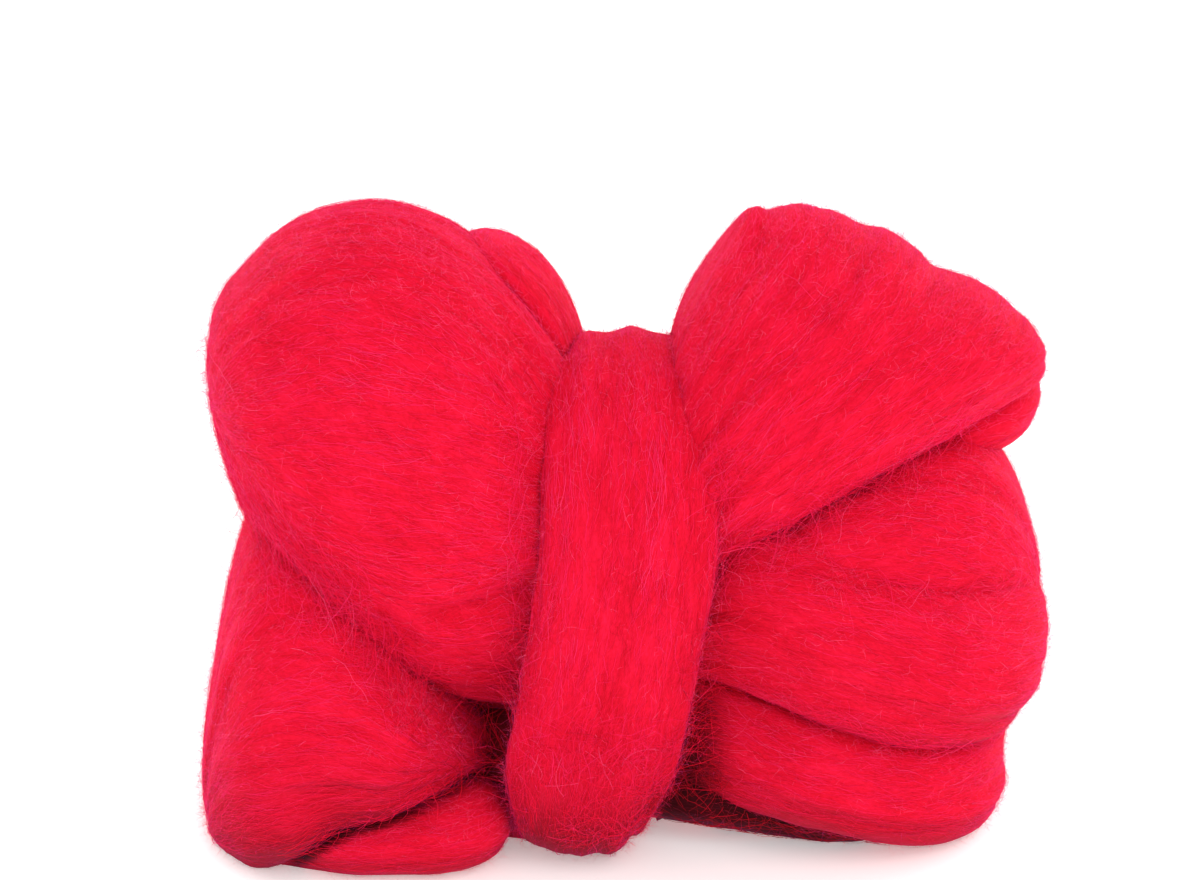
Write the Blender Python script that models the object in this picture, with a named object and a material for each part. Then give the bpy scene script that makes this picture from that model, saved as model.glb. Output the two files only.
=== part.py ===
"""A hank of wool roving, standing on its long edge.

One length of combed roving is folded to and fro into loops on the left and on
the right, and its last turn is wrapped round the middle. The loops and the
wrap are the same soft length of wool, so they are fused into one solid.

Frame: X runs along the hank, Y from front to back, Z up. The origin is on the
surface that the hank stands on, under its middle. Tables are in millimetres
and degrees. A heading of 0 points along +X, and one of 90 points up.
"""
import math
from collections import namedtuple

import bmesh
import bpy
import numpy as np
from mathutils import Vector

MM = 0.001                   # in the scene's metres

# Overall sizes
ROVING_WIDTH = 41.0          # one flattened turn of the roving
ROVING_THICKNESS = 16.0
WAIST_MIDDLE_HEIGHT = 61.0   # middle of the wrap above the surface
WAIST_HALF_HEIGHT = 55.5     # from there to the middle of the wrapped roving
WAIST_HALF_DEPTH = 35.0
WAIST_INSET = 3.0            # the squeezed bundle lies this far inside that
WAIST_SQUARENESS = 0.7
WAIST_STEPS = 20

# The folds. Each one is a spread loop of roving: it leaves the waist at its
# root, fans out between an upper and a lower edge, turns over its tip and
# comes back behind. Edges are smooth curves from a root point to a tip point
# with a heading at either end. The tip's corners are rounded off by a share
# of the fold's length, and its middle bows out by another.
Edge = namedtuple("Edge", "root_x root_z root_heading tip_x tip_z tip_heading")
Fold = namedtuple(
    "Fold",
    "name upper lower upper_corner lower_corner bow root_y tip_y root_depth tip_depth",
)
FOLDS = (
    Fold("upper_left", Edge(-9, 112, 118, -86, 163, 190), Edge(-16, 31, 178, -99, 91, 125),
         0.64, 0.26, 0.05, 0, 0, 28, 42),
    Fold("upper_left_back", Edge(-6, 97, 98, -31, 147, 160), Edge(-15, 97, 105, -43, 144, 165),
         0.20, 0.10, 0.00, 13, 13, 16, 18),
    Fold("lower_left", Edge(-14, 20, 166, -92, 84, 235), Edge(-14, 19, 180, -100, -32, 235),
         0.14, 0.76, 0.10, 2, -6, 10, 39),
    Fold("lower_left_tuck", Edge(-88, 5, 38, -27, 21, 4), Edge(-88, -1, 0, -27, -1, 0),
         0.20, 0.20, 0.00, -21, -23, 9, 17),
    Fold("lower_left_under", Edge(-10, 38, 180, -82, 26, 205), Edge(-10, -6, 180, -80, -8, 180),
         0.25, 0.20, 0.00, 0, 4, 24, 22),
    Fold("upper_right", Edge(11, 108, 97, 33, 163, 60), Edge(12, 66, 22, 113, 116, 10),
         0.20, 0.20, 0.05, 0, 2, 30, 38),
    Fold("upper_right_under", Edge(20, 92, 20, 101, 118, 20), Edge(20, 70, 15, 96, 92, 0),
         0.15, 0.15, 0.02, 12, 12, 18, 20),
    Fold("middle_right", Edge(12, 74, 25, 86, 111, 20), Edge(12, 55, 10, 105, 56, -5),
         0.25, 0.08, 0.01, 3, 2, 28, 34),
    Fold("lower_right", Edge(12, 78, 45, 106, 66, -25), Edge(12, 42, -15, 96, 17, -5),
         0.15, 0.40, 0.02, 0, 0, 27, 40),
    Fold("bottom_right", Edge(12, 54, -20, 94, 38, -6), Edge(8, 1, 28, 95, -7, 0),
         0.12, 0.28, 0.01, 0, 0, 19, 36),
    Fold("bottom_right_under", Edge(-8, 26, 0, 78, 22, 0), Edge(-8, 2, 0, 78, -8, 0),
         0.25, 0.20, 0.00, 7, 7, 26, 29),
)

# Soft troughs (negative height) and ridges that run along the roving of a
# fold, and pull its tip in or push it out as much. Across is -1 at the lower
# edge and +1 at the upper one; start and end are shares of the way to the tip.
Pleat = namedtuple("Pleat", "fold across half_width height start end")
PLEATS = (
    Pleat("upper_left", -0.62, 0.10, -2.5, 0.00, 0.55),
    Pleat("upper_left", -0.05, 0.12, -0.8, 0.10, 1.10),
    Pleat("upper_left", 0.30, 0.30, -3.4, 0.20, 1.10),
    Pleat("lower_left", 0.18, 0.10, -1.6, 0.30, 1.10),
    Pleat("lower_left", -0.30, 0.12, -1.2, 0.00, 0.80),
    Pleat("lower_left", -0.60, 0.24, 5.0, 0.58, 1.00),
    Pleat("upper_right", 0.86, 0.07, -2.4, 0.10, 1.20),
    Pleat("upper_right", 0.42, 0.08, -1.6, 0.25, 1.20),
    Pleat("upper_right", 0.02, 0.14, -3.0, 0.35, 1.20),
    Pleat("lower_right", 0.30, 0.14, -1.0, 0.20, 1.10),
    Pleat("lower_right", -0.30, 0.12, -1.3, 0.00, 1.10),
    Pleat("bottom_right", 0.05, 0.16, -1.3, 0.20, 1.10),
)

HANDLE = 0.38                # length of an edge curve's handles, as a share of its chord
CORNER_ROUNDNESS = 2.4
SECTION_ROUNDNESS = 0.8      # below 1 the front of a fold is flatter than an ellipse
DEPTH_SPREAD = 0.45          # share of the length over which a fold fills out
LONGEST_ROLL = 0.45          # most of the length that the turn over the tip takes
PLEAT_FADE = 0.15            # share of the length over which a pleat starts or ends
SIDE_STEPS = 26              # mesh steps across a fold
LENGTH_STEPS = 30            # mesh steps from root to tip

# The wrap
WRAP_STEPS = 64
WRAP_SECTION_STEPS = 24
WRAP_SQUARENESS_ABOVE = 2.3  # of the upper half of the wrap's loop
WRAP_SQUARENESS_BELOW = 3.8
WRAP_X = 1.8                 # middle of the wrap where it stands upright
WRAP_LEAN = -12.0            # how far its foot stands to the left of that
WRAP_LEANS_BELOW = 95.0
WRAP_NARROWS_BELOW = 36.0
WRAP_FOOT_WIDTH = 27.0

# Fusing
WELD = 0.01
GRAIN = 1.8                  # voxel size
SOFTNESS = 0.5
SMOOTH_STEPS = 16
KEPT_FACES = 0.09            # share of the fused faces that is kept
FLOOR_BLOCK = 320.0


def lerp(start, end, share):
    return start + (end - start) * share


def ease(share):
    share = np.clip(share, 0.0, 1.0)
    return share * share * (3.0 - 2.0 * share)


def edge_points(edge, along):
    """Points (x, z) of an edge curve, along from 0 at the root to 1 at the tip."""
    root = np.array((edge.root_x, edge.root_z), float)
    tip = np.array((edge.tip_x, edge.tip_z), float)
    reach = HANDLE * np.linalg.norm(tip - root)
    out = np.radians((edge.root_heading, edge.tip_heading))
    first = root + reach * np.array((math.cos(out[0]), math.sin(out[0])))
    second = tip - reach * np.array((math.cos(out[1]), math.sin(out[1])))
    along = along[..., None]
    rest = 1.0 - along
    return (rest ** 3 * root + 3.0 * rest ** 2 * along * first
            + 3.0 * rest * along ** 2 * second + along ** 3 * tip)


def edge_length(edge):
    return math.dist((edge.root_x, edge.root_z), (edge.tip_x, edge.tip_z))


def tip_limit(fold, across):
    """How far along the fold its tip reaches, for each place across it."""
    corner = np.where(across > 0.0, fold.upper_corner, fold.lower_corner)
    round_off = 1.0 - (1.0 - np.abs(across) ** CORNER_ROUNDNESS) ** (1.0 / CORNER_ROUNDNESS)
    return 1.0 - corner * round_off + fold.bow * (1.0 - across ** 2)


def pleat_height(fold, across, along):
    height = np.zeros_like(along)
    for pleat in PLEATS:
        if pleat.fold == fold.name:
            profile = np.exp(-((across - pleat.across) / pleat.half_width) ** 2)
            fade = ease((along - pleat.start) / PLEAT_FADE) * ease((pleat.end - along) / PLEAT_FADE)
            height += pleat.height * profile * fade
    return height


def fold_side(fold, side):
    """Grid of points on the front (side -1) or the back (side +1) of a fold."""
    turn, travel = np.meshgrid(
        np.linspace(-math.pi / 2, math.pi / 2, SIDE_STEPS + 1),
        np.linspace(0.0, 1.0, LENGTH_STEPS + 1),
        indexing="ij",
    )
    across = np.sin(turn)
    fullness = np.clip(np.cos(turn), 0.0, 1.0) ** SECTION_ROUNDNESS
    length = 0.5 * (edge_length(fold.upper) + edge_length(fold.lower))
    limit = tip_limit(fold, across)
    limit = limit + pleat_height(fold, across, limit) / length
    roll = min(LONGEST_ROLL, fold.tip_depth / length) * limit
    bend = np.clip(2.0 * travel - 1.0, 0.0, 1.0) * math.pi / 2
    straight = np.clip(2.0 * travel, 0.0, 1.0) * (limit - roll)
    along = straight + roll * np.sin(bend)

    upper = edge_points(fold.upper, along)
    lower = edge_points(fold.lower, along)
    place = lower + (upper - lower) * (0.5 * (1.0 + across))[..., None]
    filled = ease(along / DEPTH_SPREAD)
    depth = lerp(fold.root_depth, fold.tip_depth, filled)
    depth = depth + pleat_height(fold, across, along) * fullness
    middle = lerp(fold.root_y, fold.tip_y, filled)
    y = middle + side * depth * fullness * np.cos(bend)
    return np.stack((place[..., 0], y, place[..., 1]), axis=-1)


def add_grid(mesh, points, flip, closed=False):
    """Add a grid of faces; a closed grid joins up both ways."""
    rows, columns = points.shape[:2]
    verts = [[mesh.verts.new(MM * point) for point in row] for row in points]
    row_count = rows if closed else rows - 1
    column_count = columns if closed else columns - 1
    for i in range(row_count):
        for j in range(column_count):
            corners = [
                verts[i][j],
                verts[(i + 1) % rows][j],
                verts[(i + 1) % rows][(j + 1) % columns],
                verts[i][(j + 1) % columns],
            ]
            mesh.faces.new(corners[::-1] if flip else corners)


def seal(mesh):
    """Join the sides of a fold along its rim, close its root, face it outwards."""
    bmesh.ops.remove_doubles(mesh, verts=mesh.verts, dist=MM * WELD)
    bmesh.ops.dissolve_degenerate(mesh, edges=mesh.edges, dist=MM * WELD)
    rim = [edge for edge in mesh.edges if edge.is_boundary]
    bmesh.ops.holes_fill(mesh, edges=rim, sides=0)
    bmesh.ops.recalc_face_normals(mesh, faces=mesh.faces)


def make_fold(fold):
    mesh = bmesh.new()
    add_grid(mesh, fold_side(fold, -1.0), flip=False)
    add_grid(mesh, fold_side(fold, 1.0), flip=True)
    seal(mesh)
    return mesh


def wrap_x(z):
    """Middle of the wrap at a height."""
    return WRAP_X + WRAP_LEAN * ease((WRAP_LEANS_BELOW - z) / WRAP_LEANS_BELOW)


def wrap_path():
    """The wrap's middle line (y, z) and its unit way out, from the top round the front."""
    angle = np.linspace(0.0, 2.0 * math.pi, WRAP_STEPS, endpoint=False)
    sine, cosine = np.sin(angle), np.cos(angle)
    squareness = np.where(cosine > 0.0, WRAP_SQUARENESS_ABOVE, WRAP_SQUARENESS_BELOW)
    radius = (np.abs(sine) ** squareness + np.abs(cosine) ** squareness) ** (-1.0 / squareness)
    path = np.stack(
        (-WAIST_HALF_DEPTH * radius * sine, WAIST_MIDDLE_HEIGHT + WAIST_HALF_HEIGHT * radius * cosine),
        axis=-1,
    )
    step = np.roll(path, -1, axis=0) - np.roll(path, 1, axis=0)
    outward = np.stack((-step[:, 1], step[:, 0]), axis=-1)
    outward *= -1.0 / np.linalg.norm(step, axis=-1, keepdims=True)
    return path, outward


def make_wrap():
    """The last turn of the roving, a flattened tube round the waist."""
    path, outward = wrap_path()
    angle = np.linspace(0.0, 2.0 * math.pi, WRAP_SECTION_STEPS, endpoint=False)
    narrowed = ease((WRAP_NARROWS_BELOW - path[:, 1]) / WRAP_NARROWS_BELOW)
    half_width = 0.5 * lerp(ROVING_WIDTH, WRAP_FOOT_WIDTH, narrowed)
    rise = 0.5 * ROVING_THICKNESS * np.sin(angle)
    x = wrap_x(path[:, 1])[:, None] + half_width[:, None] * np.cos(angle)
    y = path[:, 0, None] + outward[:, 0, None] * rise
    z = path[:, 1, None] + outward[:, 1, None] * rise
    mesh = bmesh.new()
    add_grid(mesh, np.stack((x, y, z), axis=-1), flip=False, closed=True)
    bmesh.ops.recalc_face_normals(mesh, faces=mesh.faces)
    return mesh


def make_waist():
    """The squeezed bundle of roving inside the wrap."""
    mesh = bmesh.new()
    bmesh.ops.create_uvsphere(mesh, u_segments=WAIST_STEPS, v_segments=WAIST_STEPS, radius=1.0)
    half_size = (0.5 * ROVING_WIDTH, WAIST_HALF_DEPTH - WAIST_INSET, WAIST_HALF_HEIGHT)
    for vert in mesh.verts:
        x, y, z = (
            math.copysign(abs(share) ** WAIST_SQUARENESS, share) * size
            for share, size in zip(vert.co, half_size)
        )
        z += WAIST_MIDDLE_HEIGHT
        vert.co = MM * Vector((x + wrap_x(z), y, z))
    return mesh


def join(parts):
    """All the turns in one mesh, still overlapping."""
    whole = bpy.data.meshes.new("roving_hank")
    together = bmesh.new()
    for part in parts:
        piece = bpy.data.meshes.new("turn")
        part.to_mesh(piece)
        part.free()
        together.from_mesh(piece)
        bpy.data.meshes.remove(piece)
    together.to_mesh(whole)
    together.free()
    return whole


def wool_material():
    material = bpy.data.materials.new("crimson_wool")
    material.use_nodes = True
    shader = material.node_tree.nodes["Principled BSDF"]
    shader.inputs["Base Color"].default_value = (0.78, 0.012, 0.045, 1.0)
    shader.inputs["Roughness"].default_value = 0.85
    shader.inputs["Metallic"].default_value = 0.0
    return material


def make_floor_block():
    """A block under the standing surface, which cuts the hank's foot flat."""
    mesh = bpy.data.meshes.new("floor_block")
    block = bmesh.new()
    bmesh.ops.create_cube(block, size=MM * FLOOR_BLOCK)
    bmesh.ops.translate(block, verts=block.verts, vec=(0.0, 0.0, -0.5 * MM * FLOOR_BLOCK))
    block.to_mesh(mesh)
    block.free()
    cutter = bpy.data.objects.new("floor_block", mesh)
    cutter.hide_render = True
    cutter.display_type = "WIRE"
    bpy.context.collection.objects.link(cutter)
    return cutter


def make_hank():
    turns = [make_fold(fold) for fold in FOLDS] + [make_wrap(), make_waist()]
    hank = bpy.data.objects.new("roving_hank", join(turns))
    hank.data.materials.append(wool_material())
    bpy.context.collection.objects.link(hank)

    fuse = hank.modifiers.new("fuse", "REMESH")
    fuse.mode = "VOXEL"
    fuse.voxel_size = MM * GRAIN
    fuse.use_smooth_shade = True
    soften = hank.modifiers.new("soften", "SMOOTH")
    soften.factor = SOFTNESS
    soften.iterations = SMOOTH_STEPS
    thin_out = hank.modifiers.new("thin_out", "DECIMATE")
    thin_out.ratio = KEPT_FACES
    flatten = hank.modifiers.new("flatten", "BOOLEAN")
    flatten.operation = "DIFFERENCE"
    flatten.object = make_floor_block()


def main():
    for old in list(bpy.data.objects):
        bpy.data.objects.remove(old)
    make_hank()


main()
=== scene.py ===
"""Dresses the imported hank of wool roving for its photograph.

Every fold of the hank gets a fine skin with the roving's locks in relief, and
a coat of single fibres that run along it. The folds are the part's own: the
first tables repeat those of the part's source, in millimetres and degrees. A
heading of 0 points along +X, and one of 90 points up.
"""
import math
from collections import namedtuple

import bpy
import numpy as np
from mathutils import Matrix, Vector
from mathutils.bvhtree import BVHTree


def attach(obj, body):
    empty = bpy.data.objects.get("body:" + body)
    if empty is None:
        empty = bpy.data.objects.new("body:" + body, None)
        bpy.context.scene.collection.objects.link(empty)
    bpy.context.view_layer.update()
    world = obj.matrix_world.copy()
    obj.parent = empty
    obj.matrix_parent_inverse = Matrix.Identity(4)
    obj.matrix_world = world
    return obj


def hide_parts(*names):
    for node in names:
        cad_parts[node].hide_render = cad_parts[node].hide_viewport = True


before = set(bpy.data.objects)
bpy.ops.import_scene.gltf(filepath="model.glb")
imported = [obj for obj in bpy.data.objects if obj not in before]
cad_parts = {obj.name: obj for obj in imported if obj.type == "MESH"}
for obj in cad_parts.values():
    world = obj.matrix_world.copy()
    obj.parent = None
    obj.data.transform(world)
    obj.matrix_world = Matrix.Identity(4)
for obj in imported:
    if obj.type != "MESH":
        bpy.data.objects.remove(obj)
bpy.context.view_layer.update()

MM = 0.001                   # a millimetre in the scene's metres
NODE = "roving_hank"

# -------------------- the folds
# A fold leaves the waist at its root, fans out between an upper and a lower
# edge, turns over its tip and comes back behind. The tip's corners are rounded
# off by a share of the fold's length, and its middle bows out by another.
Edge = namedtuple("Edge", "root_x root_z root_heading tip_x tip_z tip_heading")
Fold = namedtuple(
    "Fold",
    "name upper lower upper_corner lower_corner bow root_y tip_y root_depth tip_depth",
)
FOLDS = (
    Fold("upper_left", Edge(-9, 112, 118, -86, 163, 190), Edge(-16, 31, 178, -99, 91, 125),
         0.64, 0.26, 0.05, 0, 0, 28, 42),
    Fold("upper_left_back", Edge(-6, 97, 98, -31, 147, 160), Edge(-15, 97, 105, -43, 144, 165),
         0.20, 0.10, 0.00, 13, 13, 16, 18),
    Fold("lower_left", Edge(-14, 20, 166, -92, 84, 235), Edge(-14, 19, 180, -100, -32, 235),
         0.14, 0.76, 0.10, 2, -6, 10, 39),
    Fold("lower_left_tuck", Edge(-88, 5, 38, -27, 21, 4), Edge(-88, -1, 0, -27, -1, 0),
         0.20, 0.20, 0.00, -21, -23, 9, 17),
    Fold("lower_left_under", Edge(-10, 38, 180, -82, 26, 205), Edge(-10, -6, 180, -80, -8, 180),
         0.25, 0.20, 0.00, 0, 4, 24, 22),
    Fold("upper_right", Edge(11, 108, 97, 33, 163, 60), Edge(12, 66, 22, 113, 116, 10),
         0.20, 0.20, 0.05, 0, 2, 30, 38),
    Fold("upper_right_under", Edge(20, 92, 20, 101, 118, 20), Edge(20, 70, 15, 96, 92, 0),
         0.15, 0.15, 0.02, 12, 12, 18, 20),
    Fold("middle_right", Edge(12, 74, 25, 86, 111, 20), Edge(12, 55, 10, 105, 56, -5),
         0.25, 0.08, 0.01, 3, 2, 28, 34),
    Fold("lower_right", Edge(12, 78, 45, 106, 66, -25), Edge(12, 42, -15, 96, 17, -5),
         0.15, 0.40, 0.02, 0, 0, 27, 40),
    Fold("bottom_right", Edge(12, 54, -20, 94, 38, -6), Edge(8, 1, 28, 95, -7, 0),
         0.12, 0.28, 0.01, 0, 0, 19, 36),
    Fold("bottom_right_under", Edge(-8, 26, 0, 78, 22, 0), Edge(-8, 2, 0, 78, -8, 0),
         0.25, 0.20, 0.00, 7, 7, 26, 29),
)

# Soft troughs (negative height) and ridges that run along the roving of a
# fold, and pull its tip in or push it out as much. Across is -1 at the lower
# edge and +1 at the upper one; start and end are shares of the way to the tip.
Pleat = namedtuple("Pleat", "fold across half_width height start end")
PLEATS = (
    Pleat("upper_left", -0.62, 0.10, -2.5, 0.00, 0.55),
    Pleat("upper_left", -0.05, 0.12, -0.8, 0.10, 1.10),
    Pleat("upper_left", 0.30, 0.30, -3.4, 0.20, 1.10),
    Pleat("lower_left", 0.18, 0.10, -1.6, 0.30, 1.10),
    Pleat("lower_left", -0.30, 0.12, -1.2, 0.00, 0.80),
    Pleat("lower_left", -0.60, 0.24, 5.0, 0.58, 1.00),
    Pleat("upper_right", 0.86, 0.07, -2.4, 0.10, 1.20),
    Pleat("upper_right", 0.42, 0.08, -1.6, 0.25, 1.20),
    Pleat("upper_right", 0.02, 0.14, -3.0, 0.35, 1.20),
    Pleat("lower_right", 0.30, 0.14, -1.0, 0.20, 1.10),
    Pleat("lower_right", -0.30, 0.12, -1.3, 0.00, 1.10),
    Pleat("bottom_right", 0.05, 0.16, -1.3, 0.20, 1.10),
)

HANDLE = 0.38                # length of an edge curve's handles, as a share of its chord
CORNER_ROUNDNESS = 2.4       # of a tip's corners; 2 would make them elliptic
SECTION_ROUNDNESS = 0.8      # below 1 the front of a fold is flatter than an ellipse
DEPTH_SPREAD = 0.45          # share of the length over which a fold fills out
LONGEST_ROLL = 0.45          # most of the length that the turn over the tip takes
PLEAT_FADE = 0.15            # share of the length over which a pleat starts or ends

# The wrap
ROVING_WIDTH = 41.0          # one flattened turn of the roving
ROVING_THICKNESS = 16.0
WAIST_MIDDLE_HEIGHT = 61.0   # middle of the wrap above the surface
WAIST_HALF_HEIGHT = 55.5     # from there to the middle of the wrapped roving
WAIST_HALF_DEPTH = 35.0
WRAP_SQUARENESS_ABOVE = 2.3  # of the upper half of the wrap's loop
WRAP_SQUARENESS_BELOW = 3.8
WRAP_X = 1.8                 # middle of the wrap where it stands upright
WRAP_LEAN = -12.0            # how far its foot stands to the left of that
WRAP_LEANS_BELOW = 95.0
WRAP_NARROWS_BELOW = 36.0
WRAP_FOOT_WIDTH = 27.0

# -------------------- the skins
SKIN_STEP = 1.6              # size of a skin's faces
TURN_SAMPLES, TRAVEL_SAMPLES = 241, 361  # of a fold's form, across and along it
ANGLE_SAMPLES, LOOP_SAMPLES = 65, 721    # of the wrap's form; the first are its rows
WIDEST_TRAVEL = 0.6          # where along a fold its rows are counted
FOLD_SEEDS = range(100, 300, 10)         # of the relief, one for each fold
WRAP_SEED = 300
RELIEF = ((1, 16, 0.16), (3, 26, 0.42))  # locks: half width in faces, half length, height
SKIN_CHART = (0.01, 0.99)    # the part of its map that a skin fills
RIM_FADE = 0.12              # share of a fold's half width over which its relief dies out
LEAST_SQUARED_AREA = 0.02    # of a pinched face, so that no fibre flies off it
FLOOR_GAP = 0.05             # the lowest that a fibre lies; skin below it gets none
TINY = 1e-9                  # keeps a division by zero away

# Where the wool doesn't run along its fold: places on it, and which way it
# runs there. In between, the ways are blended.
Way = namedtuple("Way", "x z heading")
FLOWS = {
    "upper_left": (
        Way(-96, 126, 52), Way(-87, 142, 52), Way(-76, 153, 28), Way(-58, 158, 2),
        Way(-38, 155, -28), Way(-20, 130, -52), Way(-36, 138, -35), Way(-57, 140, -12),
        Way(-75, 130, 24), Way(-54, 117, -4), Way(-84, 114, 12), Way(-28, 105, -18),
        Way(-95, 104, -22), Way(-85, 91, -46), Way(-50, 90, -6), Way(-70, 96, -10),
        Way(-66, 76, -40), Way(-54, 60, -42), Way(-42, 66, 8), Way(-28, 66, 14),
        Way(-40, 44, -8), Way(-28, 42, 4),
    ),
    "middle_right": (
        Way(25, 82, 25), Way(40, 92, 22), Way(56, 100, 10), Way(70, 100, -6),
        Way(86, 104, -22), Way(60, 86, -6), Way(80, 86, -22), Way(97, 76, -40),
        Way(100, 60, -55), Way(80, 72, -18),
    ),
    "lower_left": (
        Way(-100, 50, 70), Way(-96, 70, 62), Way(-84, 80, 40), Way(-100, 20, 35),
        Way(-88, 55, 38), Way(-80, 30, 12), Way(-66, 60, 8), Way(-66, 40, -4),
        Way(-50, 42, -38), Way(-36, 30, -40), Way(-44, 26, -8), Way(-60, 16, 8),
        Way(-30, 22, 8), Way(-84, 8, 25),
    ),
}
FLOW_BLEND = 7.0             # places nearer than this to a point share it
FOLD_PULL = 0.15             # how much of the fold's own way is mixed in

# Furrows in the front of a fold: from, to, depth, half width
Furrow = namedtuple("Furrow", "fold x0 z0 x1 z1 depth half_width")
FURROWS = (
    Furrow("upper_left", -22.0, 72.0, -52.0, 65.0, 4.0, 3.6),
    Furrow("upper_left", -50.0, 62.0, -60.0, 72.0, 1.6, 3.0),
    Furrow("upper_left", -20.0, 98.0, -46.0, 108.0, 0.9, 3.0),
    Furrow("lower_left", -34.0, 26.0, -60.0, 33.0, 0.9, 3.0),
)
FURROW_FADE = 0.4            # share of its length over which a furrow runs out

# -------------------- light in the wool, painted into its colour as shade
COARSE = 2                   # cover and light are worked out at every second point
COVER_REACH = 8.0            # farthest that another fold counts as near
HIDDEN = 1.5                 # wool deeper than this in another fold gets no light, and the darkest painted shade
SKY_RAYS = 20
GOLDEN_ANGLE = 2.399963
ODD_WAY = np.array((0.31, 0.47, 0.83))   # a direction that no skin faces squarely
SKY_START = 0.8              # how far off the skin the rays start
SKY_REACH = 28.0             # how far off other wool still takes light away
NO_SKY, FULL_SKY = 0.02, 0.42  # shares of open sky at which wool is painted darkest and fully lit
LIP_SKY = 0.27               # painted shade: the most light that wool facing down near the floor gets

# What depends on these does so wholly up to the first value of a pair, and no
# more from the second one on
FRONT_SLOPE = (-0.5, 0.0)    # y of the normal of wool that faces the front
LIP_SLOPE = (-2 / 3, 0.0)    # z of the normal of wool that faces down
LIP_HEIGHTS = (20.0, 60.0)   # of that wool, near the floor
LOW_HEIGHTS = (8.0, 42.0)
GAP_HEIGHTS = (35.0, 50.0)
CREASE_HEIGHTS = (22.0, 30.0)

# Painted shade: the share of light left in the colour of the front of folds near the floor, and of
# the inner folds
LOW = {"lower_left": 0.70, "wrap": 0.66}
GLOOM = {"lower_left_under": 0.20, "bottom_right_under": 0.04}
# The least light in a fold's creases: its painted shade goes no darker
LEAST = {"upper_right": 0.25, "middle_right": 0.22, "lower_right": 0.14, "bottom_right": 0.12}
# Painted shade on a fold's end beside the wrap: where it is darkest, where that ends, light left
# there
Gap = namedtuple("Gap", "near far light")
GAPS = {"bottom_right": Gap(16.0, 28.0, 0.12), "lower_right": Gap(16.0, 24.0, 0.30)}
# Painted shade where two folds lie on each other: how far the dark reaches, light left, left end
Crease = namedtuple("Crease", "reach light left")
CREASES = {
    "lower_left": Crease(4.6, 0.08, -81.0),
    "lower_left_tuck": Crease(3.0, 0.08, -82.0),
}
CREASE_CORE = 0.4            # share of the reach that is wholly dark
CREASE_START = 5.0           # length over which the dark sets in at the left end

# -------------------- the fibres
TONES = 64                   # strips in the fibres' tone chart
STRIP_SIDES = (0.25, 0.75)   # where a fibre's sides lie in its strip
FIBRE_CHART = (0.02, 0.98)   # where its ends lie along the strip
BASE_FIBRES = 47000
FRIZZ_FIBRES = 9000
FUZZ_FIBRES = 60000
COAT_SEED, VEIL_SEED = 20, 31
FRONT_COAT = 2.2             # how much denser the coat is in front
COAT_SLOPE = (-0.5, 0.5)     # y of the normal: wholly in front up to the first, then less
UNDERSIDE = -0.5             # wool whose normal has a lower z faces the floor,
FLOOR_COAT = 0.15            # and gets this share of the coat
GLOOM_COAT = 0.35            # the inner folds get this share
BURIED = 1.0                 # wool deeper than this in another fold gets none
RIM_FUZZ = 20.0              # how much denser the fuzz, with its painted glow, is where the wool turns sideways
FOOT_FRIZZ = 3.0             # how much denser frizz and fuzz are on the wrap's foot
FOOT_HEIGHTS = (10.0, 50.0)

# How the fibres of a coat lie. Stray, curl and kink are angles in radians to
# the wool's way: the fibre's, its bend's and each step's. Lift is the height
# over the skin and end_lift what its ends add, at one end only where one_ended
# is 1. Roll is the most that it turns about itself, as a ribbon. Shift makes
# the tone paler, and pale is the share of very pale fibres.
Look = namedtuple(
    "Look",
    "points length stray curl kink lift lift_power end_lift one_ended jitter roll width shift pale",
)
BASE = Look(
    points=5, length=(5, 12), stray=0.16, curl=0.14, kink=0.16, lift=(0.1, 0.6),
    lift_power=1.2, end_lift=(-0.45, 0.0), one_ended=0.0, jitter=0.08, roll=0.5,
    width=(0.055, 0.11), shift=0.0, pale=0.002)
FRIZZ = Look(
    points=7, length=(3, 9), stray=0.50, curl=0.45, kink=0.35, lift=(0.1, 0.6),
    lift_power=1.6, end_lift=(0.0, 0.5), one_ended=0.7, jitter=0.12, roll=0.5,
    width=(0.03, 0.07), shift=-1.5, pale=0.002)
# Fuzz: real loose fibres, but their pale pink tones, crowded where the wool turns sideways, are
# partly painted glow of light through them.
FUZZ = Look(
    points=3, length=(1.4, 3.6), stray=0.8, curl=0.5, kink=0.45, lift=(0.1, 1.1),
    lift_power=1.4, end_lift=(-1.0, 1.8), one_ended=0.6, jitter=0.1, roll=0.9,
    width=(0.03, 0.07), shift=3.0, pale=0.6)
DEEPEST = -0.3               # the deepest that a fibre goes into its skin
FIBRE_TIP = 0.3              # width of a fibre's ends, as a share of its middle
TONE_MIDDLE, TONE_SCATTER = 0.61, 0.13
STREAK_TONE = 0.10           # how much paler one unit of streak or shift is
TONE_RANGE, PALE_RANGE = (0.26, 0.92), (0.93, 1.0)

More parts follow.
